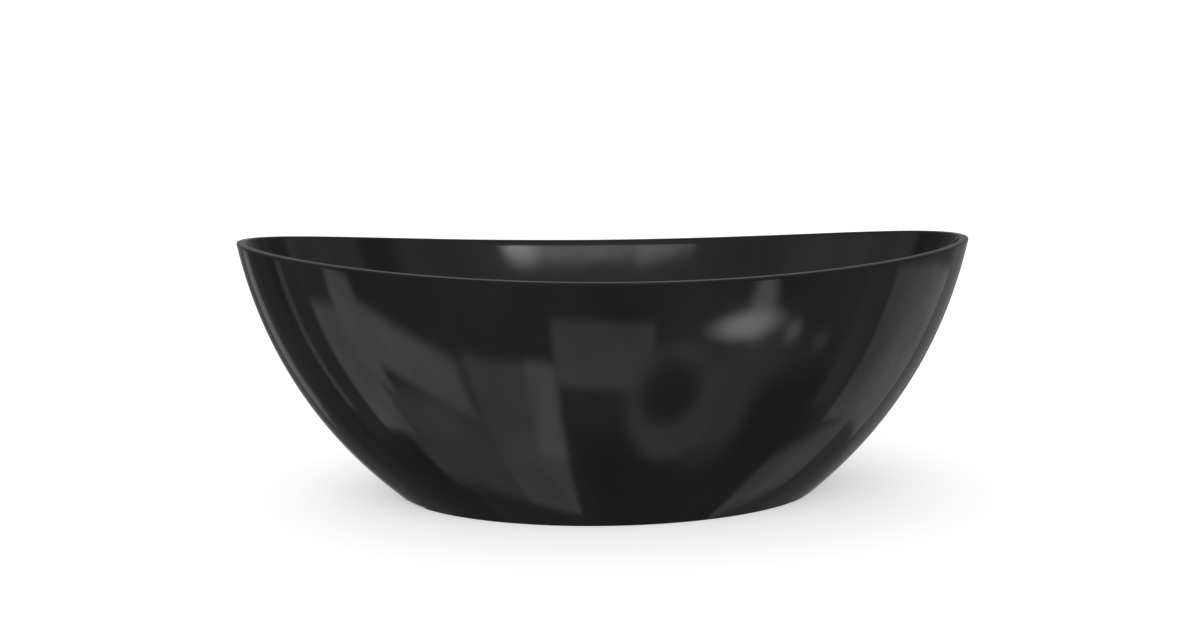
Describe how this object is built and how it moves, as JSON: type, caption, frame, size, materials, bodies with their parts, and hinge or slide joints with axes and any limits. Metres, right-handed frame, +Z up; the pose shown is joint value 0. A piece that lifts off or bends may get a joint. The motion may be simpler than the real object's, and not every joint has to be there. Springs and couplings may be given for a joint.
{
  "type": "freestanding bathtub",
  "caption": "Oval double-ended freestanding bathtub: glossy black basin in a flared skirt, slim rim rising to the ends, click-clack waste, overflow and screw-down feet.",
  "frame": {"origin": "on the floor under the middle of the tub", "axes": "+X along the tub, -Y the side of the overflow, +Z up"},
  "size_m": [1.7, 0.8, 0.595],
  "materials": {
    "black_acrylic": "polished black sanitary acrylic",
    "galvanised_steel": "dull galvanised",
    "zinc_plate": "bright zinc plate",
    "chrome": "polished",
    "brass": "turned",
    "black_rubber": "matt",
    "grey_plastic": "moulded polypropylene",
    "black_plastic": "moulded polypropylene",
    "sealed_plywood": "sealed with resin"
  },
  "bodies": {
    "tub": {"outer_shell": "black_acrylic", "basin_shell": "black_acrylic", "skirt_foot_ring": "sealed_plywood", "base_board": "sealed_plywood", "leg_bar_left": "galvanised_steel", "leg_bar_right": "galvanised_steel", "waste_flange": "chrome", "waste_top_seal": "black_rubber", "waste_bottom_seal": "black_rubber", "clicker_body": "brass", "clicker_spring": "galvanised_steel", "trap_body": "grey_plastic", "trap_cup": "grey_plastic", "trap_cup_seal": "black_rubber", "trap_outlet_nut": "grey_plastic", "trap_outlet_seal": "black_rubber", "outlet_elbow": "grey_plastic", "overflow_plate": "chrome", "overflow_screw": "chrome", "overflow_gasket": "black_rubber", "overflow_body": "black_plastic", "overflow_hose": "black_plastic", "overflow_hose_nut_top": "grey_plastic", "overflow_hose_nut_bottom": "grey_plastic", "leg_bar_cap_1": "black_plastic", "leg_bar_screw_1": "zinc_plate", "foot_weld_nut_1": "galvanised_steel", "foot_lock_nut_1": "zinc_plate", "leg_bar_cap_2": "black_plastic", "leg_bar_screw_2": "zinc_plate", "foot_weld_nut_2": "galvanised_steel", "foot_lock_nut_2": "zinc_plate", "leg_bar_cap_3": "black_plastic", "leg_bar_screw_3": "zinc_plate", "foot_weld_nut_3": "galvanised_steel", "foot_lock_nut_3": "zinc_plate", "leg_bar_cap_4": "black_plastic", "leg_bar_screw_4": "zinc_plate", "foot_weld_nut_4": "galvanised_steel", "foot_lock_nut_4": "zinc_plate"},
    "plug": {"plug_cap": "chrome", "plug_seal": "black_rubber", "plug_stem": "brass"},
    "pad_1": {"foot_pad_1": "black_rubber"},
    "stud_1": {"foot_stud_1": "zinc_plate"},
    "pad_2": {"foot_pad_2": "black_rubber"},
    "stud_2": {"foot_stud_2": "zinc_plate"},
    "pad_3": {"foot_pad_3": "black_rubber"},
    "stud_3": {"foot_stud_3": "zinc_plate"},
    "pad_4": {"foot_pad_4": "black_rubber"},
    "stud_4": {"foot_stud_4": "zinc_plate"}
  },
  "joints": [
    {"name": "plug_lift", "type": "slide", "parent": "tub", "child": "plug", "axis": [0, 0, 1], "range_m": [0, 0.009], "deforming": ["clicker_spring"]},
    {"name": "foot_drop_1", "type": "slide", "parent": "tub", "child": "pad_1", "axis": [0, 0, -1], "range_m": [0, 0.014]},
    {"name": "foot_turn_1", "type": "hinge", "parent": "pad_1", "child": "stud_1", "pos_m": [0.3, 0.15, 0.0115], "axis": [0, 0, -1], "range_deg": [0, 2880]},
    {"name": "foot_drop_2", "type": "slide", "parent": "tub", "child": "pad_2", "axis": [0, 0, -1], "range_m": [0, 0.014]},
    {"name": "foot_turn_2", "type": "hinge", "parent": "pad_2", "child": "stud_2", "pos_m": [-0.3, 0.15, 0.0115], "axis": [0, 0, -1], "range_deg": [0, 2880]},
    {"name": "foot_drop_3", "type": "slide", "parent": "tub", "child": "pad_3", "axis": [0, 0, -1], "range_m": [0, 0.014]},
    {"name": "foot_turn_3", "type": "hinge", "parent": "pad_3", "child": "stud_3", "pos_m": [-0.3, -0.15, 0.0115], "axis": [0, 0, -1], "range_deg": [0, 2880]},
    {"name": "foot_drop_4", "type": "slide", "parent": "tub", "child": "pad_4", "axis": [0, 0, -1], "range_m": [0, 0.014]},
    {"name": "foot_turn_4", "type": "hinge", "parent": "pad_4", "child": "stud_4", "pos_m": [0.3, -0.15, 0.0115], "axis": [0, 0, -1], "range_deg": [0, 2880]}
  ],
  "couplings": [
    {"joint": "foot_turn_1", "follows": "foot_drop_1", "rad_per_m": 3590.4},
    {"joint": "foot_turn_2", "follows": "foot_drop_2", "rad_per_m": 3590.4},
    {"joint": "foot_turn_3", "follows": "foot_drop_3", "rad_per_m": 3590.4},
    {"joint": "foot_turn_4", "follows": "foot_drop_4", "rad_per_m": 3590.4}
  ]
}
